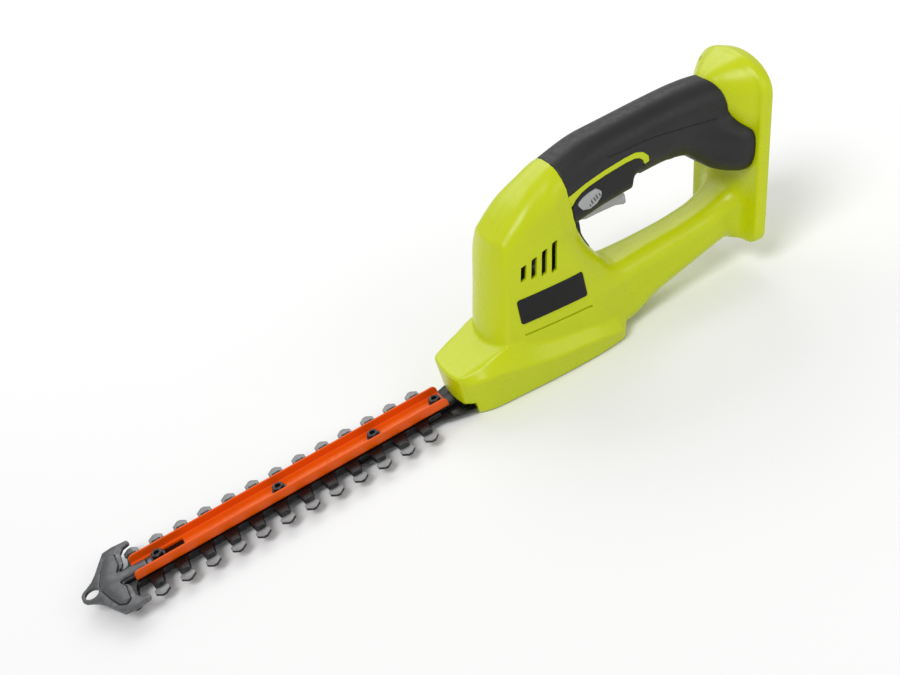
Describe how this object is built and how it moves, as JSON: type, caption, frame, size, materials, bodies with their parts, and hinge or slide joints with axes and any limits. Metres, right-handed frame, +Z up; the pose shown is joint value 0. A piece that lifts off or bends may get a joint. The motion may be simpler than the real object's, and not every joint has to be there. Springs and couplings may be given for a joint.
{
  "type": "hedge trimmer",
  "caption": "Compact cordless hedge trimmer with a double-sided toothed blade, tip guard, vertical motor housing, closed hand grip with trigger and lock-off, and a battery foot.",
  "frame": {"origin": "on the flat bottom cover of the gear housing, under the crank gear's axis", "axes": "+X from the blade tip to the battery foot, +Y the tool's right side, +Z up"},
  "size_m": [0.5492, 0.076, 0.1506],
  "materials": {
    "shell_green": "satin moulded, fine spark texture",
    "grip_rubber": "matte soft overmould",
    "black_plastic": "matte moulded",
    "channel_orange": "powder coat, satin",
    "guard_grey": "matte, slight sheen",
    "blade_black": "black oxide with ground cutting facets",
    "blade_steel": "stamped, grey",
    "bolt_black": "black oxide",
    "trigger_grey": "light grey moulded",
    "gear_steel": "sintered",
    "case_aluminium": "die cast",
    "motor_steel": "zinc plated",
    "bush_bronze": "sintered bronze",
    "magnet_ferrite": "ground ferrite",
    "copper_wire": "wound copper",
    "contact_brass": "plated",
    "lead_insulation": "smooth insulation",
    "badge_black": "gloss label, blank",
    "screw_steel": "dark zinc"
  },
  "bodies": {
    "chassis": {"support_bar": "bolt_black", "blade_channel": "channel_orange", "tip_guard": "guard_grey", "blade_bolts": "bolt_black", "blade_spacers": "gear_steel", "blade_nuts": "bolt_black", "gear_case": "case_aluminium", "upper_crank_bush": "bush_bronze", "lower_crank_bush": "bush_bronze", "base_cover": "black_plastic", "cover_screws": "screw_steel", "bracket_screws": "screw_steel", "motor_can": "motor_steel", "motor_end_cap": "black_plastic", "motor_magnets": "magnet_ferrite", "motor_brushes": "magnet_ferrite", "left_housing": "shell_green", "right_housing": "shell_green", "left_grip": "grip_rubber", "right_grip": "grip_rubber", "left_badge": "badge_black", "right_badge": "badge_black", "housing_screws": "screw_steel", "battery_socket": "black_plastic", "battery_contacts": "contact_brass", "terminal_block": "black_plastic", "trigger_surround": "black_plastic", "trigger_pin": "screw_steel", "trigger_spring": "screw_steel", "switch_body": "black_plastic", "battery_leads": "lead_insulation", "motor_leads": "lead_insulation"},
    "upper_blade_bar": {"upper_blade": "blade_black"},
    "lower_blade_bar": {"lower_blade": "blade_steel"},
    "crank": {"crank_gear": "gear_steel", "crank_shaft": "gear_steel", "upper_eccentric": "gear_steel", "lower_eccentric": "gear_steel"},
    "upper_link": {"upper_rod": "gear_steel", "upper_rod_pin": "gear_steel"},
    "lower_link": {"lower_rod": "gear_steel", "lower_rod_pin": "gear_steel"},
    "rotor": {"motor_shaft": "gear_steel", "rotor_core": "copper_wire", "commutator": "copper_wire", "motor_pinion": "gear_steel", "motor_fan": "black_plastic"},
    "trigger_lever": {"trigger": "trigger_grey"},
    "plunger": {"switch_plunger": "trigger_grey"},
    "lock_button": {"lock_off_button": "trigger_grey"}
  },
  "joints": [
    {"name": "upper_blade_slide", "type": "slide", "parent": "chassis", "child": "upper_blade_bar", "axis": [1, 0, 0], "range_m": [0, 0.009]},
    {"name": "lower_blade_slide", "type": "slide", "parent": "chassis", "child": "lower_blade_bar", "axis": [1, 0, 0], "range_m": [-0.009, 0]},
    {"name": "crank_turn", "type": "hinge", "parent": "chassis", "child": "crank", "pos_m": [0, 0, 0.019], "axis": [0, 0, 1], "continuous": true},
    {"name": "rotor_spin", "type": "hinge", "parent": "chassis", "child": "rotor", "pos_m": [0.027, 0, 0.05], "axis": [0, 0, 1], "continuous": true},
    {"name": "upper_link_turn", "type": "hinge", "parent": "crank", "child": "upper_link", "pos_m": [-0.0045, 0, 0.0118], "axis": [0, 0, 1], "continuous": true},
    {"name": "lower_link_turn", "type": "hinge", "parent": "crank", "child": "lower_link", "pos_m": [0.0045, 0, 0.0044], "axis": [0, 0, 1], "continuous": true},
    {"name": "trigger_pull", "type": "hinge", "parent": "chassis", "child": "trigger_lever", "pos_m": [0.071, 0, 0.1], "axis": [0, -1, 0], "range_deg": [0, 8], "stiffness_Nm_per_rad": 1.2, "springref_deg": -8.59, "deforming": ["trigger_spring"]},
    {"name": "plunger_slide", "type": "slide", "parent": "chassis", "child": "plunger", "axis": [0, 0, 1], "range_m": [0, 0.0045]},
    {"name": "lock_off_slide", "type": "slide", "parent": "chassis", "child": "lock_button", "axis": [0, 1, 0], "range_m": [-0.003, 0.003], "stiffness_N_per_m": 600}
  ],
  "couplings": [
    {"joint": "lower_blade_slide", "follows": "upper_blade_slide", "ratio": -1},
    {"joint": "rotor_spin", "follows": "crank_turn", "ratio": -3.5},
    {"joint": "upper_link_turn", "follows": "crank_turn", "ratio": -1},
    {"joint": "lower_link_turn", "follows": "crank_turn", "ratio": -1},
    {"joint": "plunger_slide", "follows": "trigger_pull", "m_per_rad": 0.027}
  ]
}
